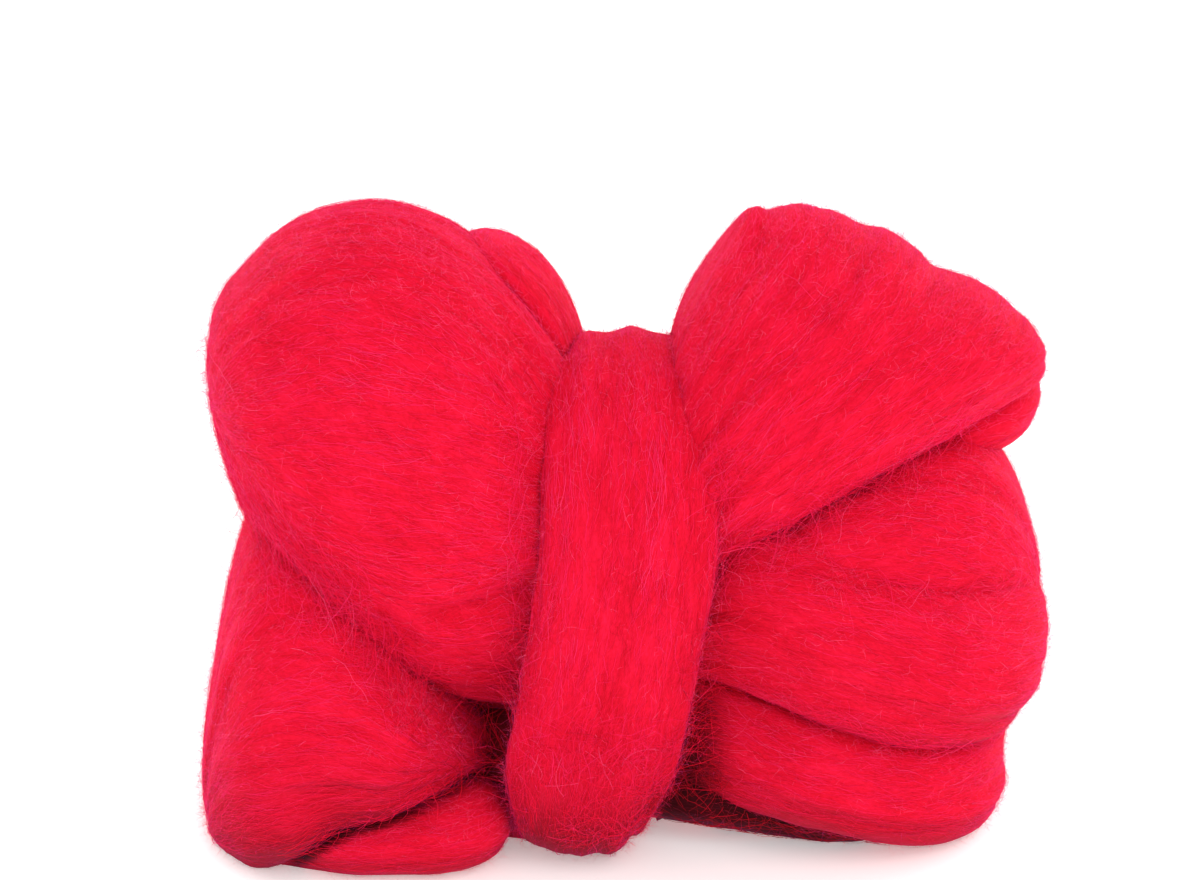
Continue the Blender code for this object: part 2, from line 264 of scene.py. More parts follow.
# Loose fibres across the creases: a line on the front, how far they spread from
# it, and their heading, scatter (degrees), length, tone (0 dark, 1 pale) and number
Veil = namedtuple("Veil", "x0 z0 x1 z1 spread heading scatter length tone count")
# The veils with tones under 0.45 lie in the gaps beside the wrap and under the lower right fold:
# their darkness is painted shade.
VEILS = (
    Veil(-88, 92, -62, 68, 9, -48, 16, 17, 0.66, 520),
    Veil(-62, 68, -48, 47, 7, -55, 20, 14, 0.60, 300),
    Veil(-48, 46, -30, 26, 6, -40, 40, 10, 0.38, 130),
    Veil(-50, 24, -27, 24, 4, 8, 30, 11, 0.42, 90),
    Veil(-78, 10, -46, 24, 3, 25, 18, 9, 0.55, 90),
    Veil(-24, 70, -26, 40, 4, 80, 25, 12, 0.62, 160),
    Veil(-24, 112, -24, 72, 3, 84, 18, 13, 0.66, 120),
    Veil(22, 110, 23, 70, 3, 84, 20, 13, 0.66, 120),
    Veil(21, 66, 16, 28, 4, 75, 50, 12, 0.42, 240),
    Veil(6, 18, 24, 20, 5, 20, 60, 10, 0.17, 130),
    Veil(14, 8, 62, 3, 4, -8, 50, 10, 0.12, 150),
    Veil(-22, 40, 12, 30, 14, 80, 60, 11, 0.62, 420),
    Veil(-14, 14, 8, 12, 8, 60, 70, 9, 0.58, 160),
    Veil(26, 80, 86, 113, 6, 30, 24, 12, 0.70, 420),
    Veil(27, 50, 88, 27, 4, -14, 26, 12, 0.62, 200),
    Veil(28, 80, 96, 68, 4, -10, 26, 12, 0.66, 160),
    Veil(-94, 104, -86, 88, 4, -60, 35, 8, 0.75, 130),
    Veil(-100, 128, -98, 108, 3, 80, 40, 6, 0.80, 90),
)
VEIL_POINTS = 9
VEIL_LENGTH = (0.5, 1.2)     # shares of the table's length
VEIL_KINK, VEIL_BEND = 0.20, 0.08  # radians: of each step, and of all steps alike
VEIL_LIFT, VEIL_BRIDGE = (0.2, 1.0), (0.5, 1.0)  # height, and straightness over hollows
VEIL_TONE_SCATTER, VEIL_TONES = 0.14, (0.1, 0.96)
VEIL_WIDTH = (0.05, 0.11)
LOWEST_VEIL = 0.2            # fibres that come lower are left out
FAR_IN_FRONT = -200.0        # y from which the wool's front is looked for

# Single hairs that catch the eye: height over the wool, tone, and the path's x and z
Hair = namedtuple("Hair", "lift tone path")
HAIRS = (
    Hair(1.2, 0.96, ((17.9, 82.1), (19.4, 77.8), (22.0, 71.0), (21.5, 66.1), (22.5, 63.4),
                     (19.6, 58.7), (20.4, 53.6), (19.8, 49.0), (21.3, 43.0))),
    Hair(0.8, 0.90, ((24.2, 148.6), (29.0, 149.0), (33.5, 147.7), (38.6, 145.4), (42.5, 141.8))),
    Hair(0.8, 0.98, ((-96.0, 124.3), (-91.6, 123.4), (-88.0, 120.2))),
    Hair(0.6, 0.94, ((42.4, 155.0), (42.6, 152.8), (41.8, 150.6))),
    Hair(0.5, 0.84, ((3.8, 36.4), (9.5, 31.5), (16.4, 27.6), (22.0, 31.0))),
    Hair(0.5, 0.88, ((-36.4, 29.4), (-32.4, 29.0), (-28.3, 26.0))),
    Hair(0.5, 0.84, ((-36.5, 21.9), (-31.0, 22.6), (-25.4, 25.4))),
)

# -------------------- colours
WHITE = (1.0, 1.0, 1.0, 1.0)
WOOL_FINISH = {
    "Roughness": 0.78, "Specular IOR Level": 0.08,
    "Sheen Roughness": 0.34, "Sheen Tint": (0.98, 0.08, 0.52, 1.0),
}
# Bumps to a metre across the wool, the share of them along it, detail, weight
SKIN_STREAKS = ((1500.0, 0.5, 3.0, 0.40), (420.0, 0.3, 3.0, 0.35), (90.0, 0.6, 2.0, 0.25))
# Colour ramps: each position, and its red, green and blue
SKIN_COLOURS = (
    (0.30, (0.58, 0.002, 0.014)), (0.50, (0.76, 0.004, 0.030)), (0.72, (0.86, 0.009, 0.055)),
)
# Painted shade: the skin's colour is multiplied by this ramp over the light at each point
SKIN_LIGHT = (
    (NO_SKY, (0.03, 0.06, 0.06)), (0.20, (0.38, 0.5, 0.5)), (FULL_SKY, (1.0, 1.0, 1.0)),
)
# Tones of the fibres. Those below 0.26 come only from painted shade; the palest, mostly on the
# fuzz, are partly painted glow.
FIBRE_COLOURS = (
    (0.00, (0.07, 0.004, 0.008)), (0.18, (0.40, 0.003, 0.012)), (0.36, (0.74, 0.003, 0.021)),
    (0.62, (0.84, 0.006, 0.046)), (0.90, (0.90, 0.018, 0.125)), (1.00, (0.93, 0.10, 0.24)),
)
FLOOR_COLOURS = ((0.3, (0.93, 0.93, 0.93)), (0.7, (0.95, 0.95, 0.95)))

# -------------------- the studio's sizes, in metres
CAMERA_AIM = (-0.0055, 0.0, 0.099)
CAMERA_DISTANCE = 0.62
CAMERA_ELEVATION = 20.0
CAMERA_LENS, CAMERA_SENSOR = 78.0, 36.0
NEAREST_VISIBLE = 0.01
WORLD_LIGHT = 0.95
Lamp = namedtuple("Lamp", "name place target size power")
LAMPS = (
    Lamp("key", (0.8, -1.3, 1.7), (0.0, 0.1, 0.0), 1.4, 14.0),
    Lamp("rim_light", (-1.3, 1.0, 0.7), (0.0, 0.0, 0.08), 1.0, 12.0),
    Lamp("rim_light", (1.3, 1.0, 0.7), (0.0, 0.0, 0.08), 1.0, 12.0),
)
FLOOR_SIZE, FLOOR_MIDDLE = 8.0, (0.0, 1.0, 0.0)
FLOOR_GLOW = 0.32            # keeps the floor white beside the wool


def lerp(start, end, share):
    return start + (end - start) * share


def ease(share):
    share = np.clip(share, 0.0, 1.0)
    return share * share * (3.0 - 2.0 * share)


def fades(value, whole, none):
    """A share that is 1 at the value whole, 0 at the value none, and eased in between."""
    return ease((none - value) / (none - whole))


def unit(vectors):
    return vectors / np.maximum(np.linalg.norm(vectors, axis=-1, keepdims=True), TINY)


def corners(grid):
    """The values at the four corners of every face of a grid, in order round the face."""
    return np.stack((grid[:-1, :-1], grid[1:, :-1], grid[1:, 1:], grid[:-1, 1:]), axis=2)


def neighbours(wide):
    """For every inner point of a grid: the sum of the values on its four sides."""
    return wide[:-2, 1:-1] + wide[2:, 1:-1] + wide[1:-1, :-2] + wide[1:-1, 2:]


def sample(grid, row, column):
    """A grid's values at places between its points."""
    i = np.minimum(row.astype(int), grid.shape[0] - 2)
    j = np.minimum(column.astype(int), grid.shape[1] - 2)
    fi, fj = row - i, column - j
    if grid.ndim == 3:
        fi, fj = fi[..., None], fj[..., None]
    return lerp(
        lerp(grid[i, j], grid[i + 1, j], fi), lerp(grid[i, j + 1], grid[i + 1, j + 1], fi), fj)


# -------------------- forms, as in the part's source
def edge_points(edge, along):
    """Points (x, z) of an edge curve, along from 0 at the root to 1 at the tip."""
    root = np.array((edge.root_x, edge.root_z), float)
    tip = np.array((edge.tip_x, edge.tip_z), float)
    reach = HANDLE * np.linalg.norm(tip - root)
    out = np.radians((edge.root_heading, edge.tip_heading))
    first = root + reach * np.array((math.cos(out[0]), math.sin(out[0])))
    second = tip - reach * np.array((math.cos(out[1]), math.sin(out[1])))
    along = along[..., None]
    rest = 1.0 - along
    return (rest ** 3 * root + 3.0 * rest ** 2 * along * first
            + 3.0 * rest * along ** 2 * second + along ** 3 * tip)


def edge_length(edge):
    return math.dist((edge.root_x, edge.root_z), (edge.tip_x, edge.tip_z))


def tip_limit(fold, across):
    """How far along the edges a fold reaches."""
    corner = np.where(across > 0.0, fold.upper_corner, fold.lower_corner)
    round_off = 1.0 - (1.0 - np.abs(across) ** CORNER_ROUNDNESS) ** (1.0 / CORNER_ROUNDNESS)
    return 1.0 - corner * round_off + fold.bow * (1.0 - across ** 2)


def pleat_height(fold, across, along):
    height = np.zeros_like(along)
    for pleat in PLEATS:
        if pleat.fold == fold.name:
            profile = np.exp(-((across - pleat.across) / pleat.half_width) ** 2)
            fade = ease((along - pleat.start) / PLEAT_FADE) * ease((pleat.end - along) / PLEAT_FADE)
            height += pleat.height * profile * fade
    return height


def fold_points(fold, turn, travel):
    """Points of a fold. Turn runs from -90 degrees at its lower edge to 90 at its upper one,
    and travel from 0 at its front root over the tip at 1 to 2 behind."""
    side = np.where(travel <= 1.0, -1.0, 1.0)
    travel = np.where(travel <= 1.0, travel, 2.0 - travel)
    across = np.sin(turn)
    fullness = np.clip(np.cos(turn), 0.0, 1.0) ** SECTION_ROUNDNESS
    length = 0.5 * (edge_length(fold.upper) + edge_length(fold.lower))
    limit = tip_limit(fold, across)
    limit = limit + pleat_height(fold, across, limit) / length
    roll = min(LONGEST_ROLL, fold.tip_depth / length) * limit
    bend = np.clip(2.0 * travel - 1.0, 0.0, 1.0) * math.pi / 2
    straight = np.clip(2.0 * travel, 0.0, 1.0) * (limit - roll)
    along = straight + roll * np.sin(bend)
    place = lerp(
        edge_points(fold.lower, along), edge_points(fold.upper, along),
        (0.5 * (1.0 + across))[..., None])
    filled = ease(along / DEPTH_SPREAD)
    depth = lerp(fold.root_depth, fold.tip_depth, filled)
    depth = depth + pleat_height(fold, across, along) * fullness
    middle = lerp(fold.root_y, fold.tip_y, filled)
    y = middle + side * depth * fullness * np.cos(bend)
    return np.stack((place[..., 0], y, place[..., 1]), axis=-1)


def wrap_x(z):
    """Middle of the wrap at the height z."""
    return WRAP_X + WRAP_LEAN * ease((WRAP_LEANS_BELOW - z) / WRAP_LEANS_BELOW)


def wrap_points(angle, share):
    """Points of the wrap: angle round its section, and share of the way round its loop,
    which starts on top and goes down in front."""
    around = share * 2.0 * math.pi
    sine, cosine = np.sin(around), np.cos(around)
    squareness = np.where(cosine > 0.0, WRAP_SQUARENESS_ABOVE, WRAP_SQUARENESS_BELOW)
    radius = (np.abs(sine) ** squareness + np.abs(cosine) ** squareness) ** (-1.0 / squareness)
    y = -WAIST_HALF_DEPTH * radius * sine
    z = WAIST_MIDDLE_HEIGHT + WAIST_HALF_HEIGHT * radius * cosine
    step = np.stack((np.gradient(y, axis=1), np.gradient(z, axis=1)), axis=-1)
    step[:, 0] = step[:, -1] = 0.5 * (step[:, 0] + step[:, -1])
    outward = unit(np.stack((step[..., 1], -step[..., 0]), axis=-1))
    narrowed = ease((WRAP_NARROWS_BELOW - z) / WRAP_NARROWS_BELOW)
    half_width = 0.5 * lerp(ROVING_WIDTH, WRAP_FOOT_WIDTH, narrowed)
    rise = 0.5 * ROVING_THICKNESS * np.sin(angle)
    return np.stack((
        wrap_x(z) + half_width * np.cos(angle),
        y + outward[..., 0] * rise,
        z + outward[..., 1] * rise,
    ), axis=-1)


# -------------------- sheets
class Sheet:
    """A skin as a grid of points: rows across the roving, columns along it at equal steps.

    A closed sheet joins up with itself both ways. An open one is a fold: its
    first and last rows are its rim, where the front half goes on behind.
    """

    def __init__(self, name, points, seed, closed=False):
        self.name, self.closed = name, closed
        self.rows = len(points)
        step = np.linalg.norm(np.diff(points, axis=1), axis=-1)
        run = np.concatenate((np.zeros((self.rows, 1)), np.cumsum(step, axis=1)), axis=1)
        self.columns = int(run[:, -1].max() / SKIN_STEP) + 1
        at = np.linspace(0.0, 1.0, self.columns)
        self.grid = np.stack([
            np.stack([np.interp(at * line[-1], line, row[:, k]) for k in range(3)], axis=-1)
            for line, row in zip(run, points)
        ])
        self.row, self.column = np.meshgrid(
            np.arange(self.rows, dtype=float), np.arange(self.columns, dtype=float), indexing="ij")
        self.sign = 1.0          # -1 where the grid's own normals point inwards
        self.measure()
        outwards = ((self.grid - self.grid.mean(axis=(0, 1))) * self.normal).sum(axis=-1)
        self.sign = math.copysign(1.0, (outwards * self.area).sum())
        self.normal = self.normal * self.sign
        self.find_ways()
        height, self.streak = self.locks(np.random.default_rng(seed))
        height = height + self.furrows()
        if not closed:
            rim = 1.0 - np.abs(2.0 * self.row / (self.rows - 1) - 1.0)
            height *= ease(rim / RIM_FADE)
        self.grid = self.grid + height[..., None] * self.normal
        self.below = self.grid[..., 2] < FLOOR_GAP
        self.grid[..., 2] = np.maximum(self.grid[..., 2], 0.0)
        self.measure()

    def measure(self):
        wide = self.padded(self.grid)
        across = 0.5 * (wide[2:, 1:-1] - wide[:-2, 1:-1])
        along = 0.5 * (wide[1:-1, 2:] - wide[1:-1, :-2])
        self.steps = across, along
        self.normal = self.sign * unit(np.cross(across, along))
        self.area = np.linalg.norm(np.cross(across, along), axis=-1)

    def padded(self, grid):
        """The grid with its neighbours all round: a fold goes on behind its rim."""
        if self.closed:
            grid = np.concatenate((grid[-2:-1], grid, grid[1:2]), axis=0)
            return np.concatenate((grid[:, -2:-1], grid, grid[:, 1:2]), axis=1)
        grid = np.concatenate((grid[1:2, ::-1], grid, grid[-2:-1, ::-1]), axis=0)
        before, after = 2.0 * grid[:, :1] - grid[:, 1:2], 2.0 * grid[:, -1:] - grid[:, -2:-1]
        return np.concatenate((before, grid, after), axis=1)

    def find_ways(self):
        """Which way the wool runs at each point.

        The seven numbers are its direction, and the rows and columns that a
        millimetre ahead and a millimetre aside take.
        """
        across, along = self.steps
        way = unit(along)
        if self.name in FLOWS:
            way = self.flow(way)
        rr, cc = (across ** 2).sum(axis=-1), (along ** 2).sum(axis=-1)
        rc = (across * along).sum(axis=-1)
        whole = np.maximum(rr * cc - rc * rc, LEAST_SQUARED_AREA)
        numbers = [way]
        for ahead in (way, unit(np.cross(self.normal, way))):
            r, c = (ahead * across).sum(axis=-1), (ahead * along).sum(axis=-1)
            numbers.append(
                np.stack(((r * cc - c * rc) / whole, (c * rr - r * rc) / whole), axis=-1))
        self.way = np.concatenate(numbers, axis=-1)

    def flow(self, way):
        """The ways that FLOWS gives for this fold, with a little of the fold's own way."""
        cosine, sine = 0.0, 0.0
        for place in FLOWS[self.name]:
            away = (self.grid[..., 0] - place.x) ** 2 + (self.grid[..., 2] - place.z) ** 2
            share = 1.0 / (away + FLOW_BLEND ** 2) ** 2
            double = 2.0 * math.radians(place.heading)
            cosine = cosine + share * math.cos(double)
            sine = sine + share * math.sin(double)
        heading = 0.5 * np.arctan2(sine, cosine)
        flat = np.stack((np.cos(heading), np.zeros_like(heading), np.sin(heading)), axis=-1)
        flat -= (flat * self.normal).sum(axis=-1, keepdims=True) * self.normal
        side = np.where((flat * way).sum(axis=-1, keepdims=True) < 0.0, -1.0, 1.0)
        return unit(side * flat + FOLD_PULL * way)

    def wrapped(self, row, column):
        """The same places, with those past the rim or the end moved to where the sheet goes on."""
        if self.closed:
            return np.mod(row, self.rows - 1), np.mod(column, self.columns - 1)
        last = self.rows - 1
        column = np.where((row < 0) | (row > last), self.columns - 1 - column, column)
        row = np.where(row < 0, -row, np.where(row > last, 2 * last - row, row))
        return np.clip(row, 0, last), np.clip(column, 0, self.columns - 1)

    def walk(self, row, column, turns, step, sense):
        """Rows and columns that lie along the wool from given ones, one step after another.

        Turns are the angles to the wool's way on each step; sense is 1 or -1.
        """
        rows, columns, before = [row], [column], None
        for k in range(turns.shape[-1]):
            here = self.way[np.round(row).astype(int), np.round(column).astype(int)]
            if before is None:
                here = sense * here
            else:
                facing = (here[..., :3] * before).sum(axis=-1, keepdims=True)
                here = np.where(facing < 0.0, -here, here)
            before = here[..., :3]
            row_ahead, column_ahead, row_aside, column_aside = np.moveaxis(here[..., 3:], -1, 0)
            ahead, aside = step * np.cos(turns[..., k]), step * np.sin(turns[..., k])
            row, column = self.wrapped(
                row + ahead * row_ahead + aside * row_aside,
                column + ahead * column_ahead + aside * column_aside)
            rows.append(row)
            columns.append(column)
        return np.stack(rows, axis=-1), np.stack(columns, axis=-1)

    def locks(self, rng):
        """Heights of the roving's locks, and a streak value of about -1 to 1, along the wool."""
        height, streak = 0.0, 0.0
        for half_width, half_length, high in RELIEF:
            speck = rng.standard_normal(self.row.shape)
            for _ in range(half_width):
                wide = self.padded(speck)
                speck = (neighbours(wide) + wide[1:-1, 1:-1]) / 5.0
            straight = np.zeros((1, 1, half_length))
            total = speck.copy()
            for sense in (1.0, -1.0):
                rows, columns = self.walk(self.row, self.column, straight, SKIN_STEP, sense)
                total += self.at(speck, rows[..., 1:], columns[..., 1:]).sum(axis=-1)
            total = total / max(total.std(), TINY)
            height = height + high * total
            streak = streak + total / len(RELIEF)
        return height, streak

    def furrows(self):
        height = np.zeros_like(self.row)
        for furrow in FURROWS:
            if furrow.fold == self.name:
                run = np.array((furrow.x1 - furrow.x0, furrow.z1 - furrow.z0))
                gap = self.grid[..., [0, 2]] - np.array((furrow.x0, furrow.z0))
                share = np.clip(gap @ run / (run @ run), 0.0, 1.0)
                away = np.linalg.norm(gap - share[..., None] * run, axis=-1)
                fade = ease((1.0 - share) / FURROW_FADE) * (self.normal[..., 1] < 0.0)
                height -= furrow.depth * np.exp(-(away / furrow.half_width) ** 2) * fade
        return height

    def at(self, grid, row, column):
        return sample(grid, *self.wrapped(row, column))


def fold_sheet(fold, seed):
    """The sheet of a fold, with rows at equal steps over its widest part."""
    turn = np.linspace(-math.pi / 2, math.pi / 2, TURN_SAMPLES)
    section = fold_points(fold, turn, np.full_like(turn, WIDEST_TRAVEL))
    run = np.concatenate(((0.0,), np.cumsum(np.linalg.norm(np.diff(section, axis=0), axis=-1))))
    rows = int(run[-1] / SKIN_STEP) | 1  # odd, so that one runs along the middle
    turn = np.interp(np.linspace(0.0, run[-1], rows), run, turn)
    turn, travel = np.meshgrid(turn, np.linspace(0.0, 2.0, TRAVEL_SAMPLES), indexing="ij")
    return Sheet(fold.name, fold_points(fold, turn, travel), seed)


def make_sheets():
    sheets = [fold_sheet(fold, seed) for fold, seed in zip(FOLDS, FOLD_SEEDS)]
    angle, share = np.meshgrid(
        np.linspace(-math.pi, math.pi, ANGLE_SAMPLES), np.linspace(0.0, 1.0, LOOP_SAMPLES),
        indexing="ij")
    return sheets + [Sheet("wrap", wrap_points(angle, share), WRAP_SEED, closed=True)]


# -------------------- light in the wool, painted into its colour as shade
def search_tree(sheets, step, outward=False):
    """A search tree of every step-th row and column of the sheets."""
    points, quads = [], []
    for sheet in sheets:
        grid = sheet.grid[::step, ::step]
        index = len(points) + np.arange(grid[..., 0].size).reshape(grid.shape[:2])
        order = int(sheet.sign) if outward else 1
        quads += corners(index).reshape(-1, 4)[:, ::order].tolist()
        points += grid.reshape(-1, 3).tolist()
    return BVHTree.FromPolygons(points, quads)


def refine(coarse, sheet):
    """Values of every COARSE-th row and column, spread to all the points of the sheet."""
    return sample(
        coarse,
        np.clip(sheet.row / COARSE, 0, coarse.shape[0] - 1),
        np.clip(sheet.column / COARSE, 0, coarse.shape[1] - 1))


def cover(sheets):
    """For each sheet: how deep each point lies in another one (mm, negative outside)."""
    trees = [search_tree([sheet], COARSE, outward=True) for sheet in sheets]
    for k, sheet in enumerate(sheets):
        coarse = sheet.grid[::COARSE, ::COARSE]
        depth = np.full(coarse.shape[:2], -COVER_REACH)
        others = trees[:k] + trees[k + 1:]
        for place in np.ndindex(depth.shape):
            point = Vector(coarse[place])
            for tree in others:
                near, normal, _, away = tree.find_nearest(point, COVER_REACH)
                if near is not None:
                    inside = (point - near).dot(normal) < 0.0
                    depth[place] = max(depth[place], away if inside else -away)
        sheet.depth = refine(depth, sheet)


def open_sky(sheets):
    """For each sheet: how much light reaches each point, up to FULL_SKY, to be painted into the
    wool's colours as shade.
    """
    tree = search_tree(sheets, COARSE)
    turn = np.arange(SKY_RAYS) * GOLDEN_ANGLE
    rise = np.sqrt((np.arange(SKY_RAYS) + 0.5) / SKY_RAYS)
    rays = np.stack((rise * np.cos(turn), rise * np.sin(turn), np.sqrt(1.0 - rise ** 2)))
    for sheet in sheets:
        grid, normal = sheet.grid[::COARSE, ::COARSE], sheet.normal[::COARSE, ::COARSE]
        side = unit(np.cross(normal, ODD_WAY))
        ways = sum(
            part[:, None, None, None] * axis
            for part, axis in zip(rays, (side, np.cross(normal, side), normal)))
        seen = np.zeros(grid.shape[:2])
        for i, j in zip(*np.nonzero(sheet.depth[::COARSE, ::COARSE] < HIDDEN)):
            start = Vector(grid[i, j] + SKY_START * normal[i, j])
            seen[i, j] = sum(
                tree.ray_cast(start, Vector(way), SKY_REACH)[0] is None for way in ways[:, i, j]
            ) / SKY_RAYS
        seen = (2.0 * seen + neighbours(np.pad(seen, 1, mode="edge"))) / 6.0
        sheet.sky = light_left(sheet, refine(seen, sheet))


def light_left(sheet, sky):
    """The painted light at each point of a sheet, from the share of open sky that is seen there,
    with more painted shade near the floor, on inner folds, beside the wrap and in creases.
    """
    x, z = sheet.grid[..., 0], sheet.grid[..., 2]
    front = fades(sheet.normal[..., 1], *FRONT_SLOPE)
    lip = fades(sheet.normal[..., 2], *LIP_SLOPE) * fades(z, *LIP_HEIGHTS)
    sky = sky * lerp(1.0, GLOOM.get(sheet.name, 1.0), front)
    sky = np.clip(sky, LEAST.get(sheet.name, 0.0), lerp(FULL_SKY, LIP_SKY, lip))
    sky *= lerp(1.0, LOW.get(sheet.name, 1.0), front * fades(z, *LOW_HEIGHTS))
    if sheet.name in GAPS:
        near, far, light = GAPS[sheet.name]
        sky *= lerp(1.0, light, front * fades(x, near, far) * fades(z, *GAP_HEIGHTS))
    if sheet.name in CREASES:
        reach, light, left = CREASES[sheet.name]
        crease = front * fades(sheet.depth, -CREASE_CORE * reach, -reach)
        crease *= fades(x, left + CREASE_START, left)
        sky *= lerp(1.0, light, crease * fades(z, *CREASE_HEIGHTS))
    return sky


# -------------------- materials
class Nodes:
    """A new material, built node by node."""

    def __init__(self, name):
        self.material = bpy.data.materials.new(name)
        self.material.use_nodes = True
        self.tree = self.material.node_tree

    def add(self, kind, inputs=None, output=0, **settings):
        """Adds a node, and returns one of its outputs."""
        node = self.tree.nodes.new("ShaderNode" + kind)
        for setting, value in settings.items():
            setattr(node, setting, value)
        self.fill(node, inputs or {})
        return node.outputs[output]

    def fill(self, node, inputs):
        """Sets inputs to their values, or links them where these are other nodes' outputs."""
        for key, value in inputs.items():
            if isinstance(value, bpy.types.NodeSocket):
                self.tree.links.new(value, node.inputs[key])
            else:
                node.inputs[key].default_value = value

    def ramp(self, factor, stops):
        """A colour ramp. Each stop is its position and its red, green and blue."""
        colours = self.add("ValToRGB", {"Fac": factor})
        elements = colours.node.color_ramp.elements
        for element, (position, colour) in zip(elements, (stops[0], stops[-1])):
            element.position, element.color = position, (*colour, 1.0)
        for position, colour in stops[1:-1]:
            elements.new(position).color = (*colour, 1.0)
        return colours

    def streaks(self, place, scales, **inputs):
        """Smooth noise, so many bumps to a unit of the map across and along."""
        stretched = self.add("Mapping", {"Vector": place, "Scale": (*scales, 1.0)})
        return self.add(
            "TexNoise", {"Vector": stretched, "Scale": 1.0, **inputs}, noise_dimensions="2D")

    def finish(self, inputs):
        """Sets the shader's inputs, and returns the material."""
        self.fill(self.tree.nodes["Principled BSDF"], inputs)
        return self.material


def skin_material():
    """Locks and streaks along the roving, with painted shade: darker where little light gets in."""
    nodes = Nodes("wool_skin")
    place = nodes.add("UVMap", uv_map="Wool")
    total = 0.0
    for scale, stretch, detail, weight in SKIN_STREAKS:
        streak = nodes.streaks(place, (scale, scale * stretch), Detail=detail, Roughness=0.6)
        total = nodes.add("Math", {0: streak, 1: weight, 2: total}, operation="MULTIPLY_ADD")
    # painted shade: the light worked out at each point darkens the skin's colour
    sky = nodes.add("Attribute", output="Fac", attribute_name="sky")
    shaded = nodes.add(
        "VectorMath", {0: nodes.ramp(total, SKIN_COLOURS), 1: nodes.ramp(sky, SKIN_LIGHT)},
        operation="MULTIPLY")
    relief = nodes.add("Bump", {"Strength": 0.7, "Distance": 0.5 * MM, "Height": total})
    return nodes.finish(
        {**WOOL_FINISH, "Sheen Weight": 0.15, "Base Color": shaded, "Normal": relief})


def fibre_material():
    """One tone for each strip of the map, its painted shade included, a little lighter and darker
    along the fibres.
    """
    nodes = Nodes("wool_fibre")
    place = nodes.add("UVMap", uv_map="OFBake")
    across = nodes.add("SeparateXYZ", {"Vector": place})
    strips = nodes.add("Math", {0: across, 1: TONES}, operation="MULTIPLY")
    strip = nodes.add("Math", {0: strips}, operation="FLOOR")
    tone = nodes.add("Math", {0: strip, 1: TONES - 1}, operation="DIVIDE")
    wave = nodes.streaks(place, (TONES * 0.5, 5.0))
    shade = nodes.add("MapRange", {"Value": wave, "To Min": 0.84, "To Max": 1.12})
    colour = nodes.add(
        "VectorMath", {0: nodes.ramp(tone, FIBRE_COLOURS), "Scale": shade}, operation="SCALE")
    return nodes.finish({**WOOL_FINISH, "Sheen Weight": 1.0, "Base Color": colour})


def floor_material():
    nodes = Nodes("pale_floor")
    colour = nodes.ramp(nodes.add("TexNoise", {"Scale": 3.0}), FLOOR_COLOURS)
    return nodes.finish({
        "Base Color": colour, "Roughness": 0.9, "Specular IOR Level": 0.1,
        "Emission Color": WHITE, "Emission Strength": FLOOR_GLOW,
    })


# -------------------- pieces
def grid_mesh(name, points, quads, maps, material):
    """A piece from points in millimetres and quads, with its maps by corner."""
    mesh = bpy.data.meshes.new(name)
    mesh.vertices.add(len(points))
    mesh.vertices.foreach_set("co", (points * MM).astype(np.float32).ravel())
    mesh.loops.add(quads.size)
    mesh.loops.foreach_set("vertex_index", quads.astype(np.int32).ravel())
    mesh.polygons.add(len(quads))
    mesh.polygons.foreach_set("loop_start", np.arange(0, quads.size, 4, dtype=np.int32))
    mesh.update(calc_edges=True)
    for layer, uv in maps.items():
        mesh.uv_layers.new(name=layer).data.foreach_set("uv", uv.astype(np.float32).ravel())
    mesh.polygons.foreach_set("use_smooth", np.ones(len(quads), bool))
    mesh.materials.append(material)
    piece = bpy.data.objects.new(name, mesh)
    bpy.context.collection.objects.link(piece)
    return piece


def dress(piece):
    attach(piece, "root")
    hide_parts(NODE)


def skin_piece(sheet, material):
    """The sheet as a closed mesh: its rim is sewn up and its root is capped."""
    rows, columns = sheet.rows, sheet.columns
    index = np.arange(rows * columns).reshape(rows, columns)
    if sheet.closed:
        index[-1] = index[0]
        index[:, -1] = index[:, 0]
    else:
        front = np.arange(columns // 2)
        for row in (0, -1):
            index[row, columns - 1 - front] = index[row, front]
    quads = corners(index).reshape(-1, 4)
    place = np.stack((sheet.row, sheet.column), axis=-1)
    chart = lerp(*SKIN_CHART, place / (rows - 1.0, columns - 1.0))
    maps = {
        "OFBake": corners(chart).reshape(-1, 4, 2),
        "Wool": corners(place * SKIN_STEP * MM).reshape(-1, 4, 2),
    }
    if not sheet.closed:
        cap = np.stack((index[:-1, -1], index[1:, -1], index[1:, 0], index[:-1, 0]), axis=-1)
        cap = cap[1:-1]
        quads = np.concatenate((quads, cap))
        for layer, uv in maps.items():
            maps[layer] = np.concatenate((uv, np.repeat(uv[:1], len(cap), axis=0)))
    keep = np.array([len(set(quad)) == 4 for quad in quads.tolist()])
    order = int(sheet.sign)
    maps = {layer: uv[keep][:, ::order] for layer, uv in maps.items()}
    used, fresh = np.unique(quads[keep][:, ::order], return_inverse=True)
    piece = grid_mesh(
        "loop_" + sheet.name, sheet.grid.reshape(-1, 3)[used], fresh.reshape(-1, 4), maps, material)
    # the light worked out at each point, painted into the skin as shade
    layer = piece.data.attributes.new("sky", "FLOAT", "POINT")
    layer.data.foreach_set("value", sheet.sky.ravel()[used].astype(np.float32))
    dress(piece)


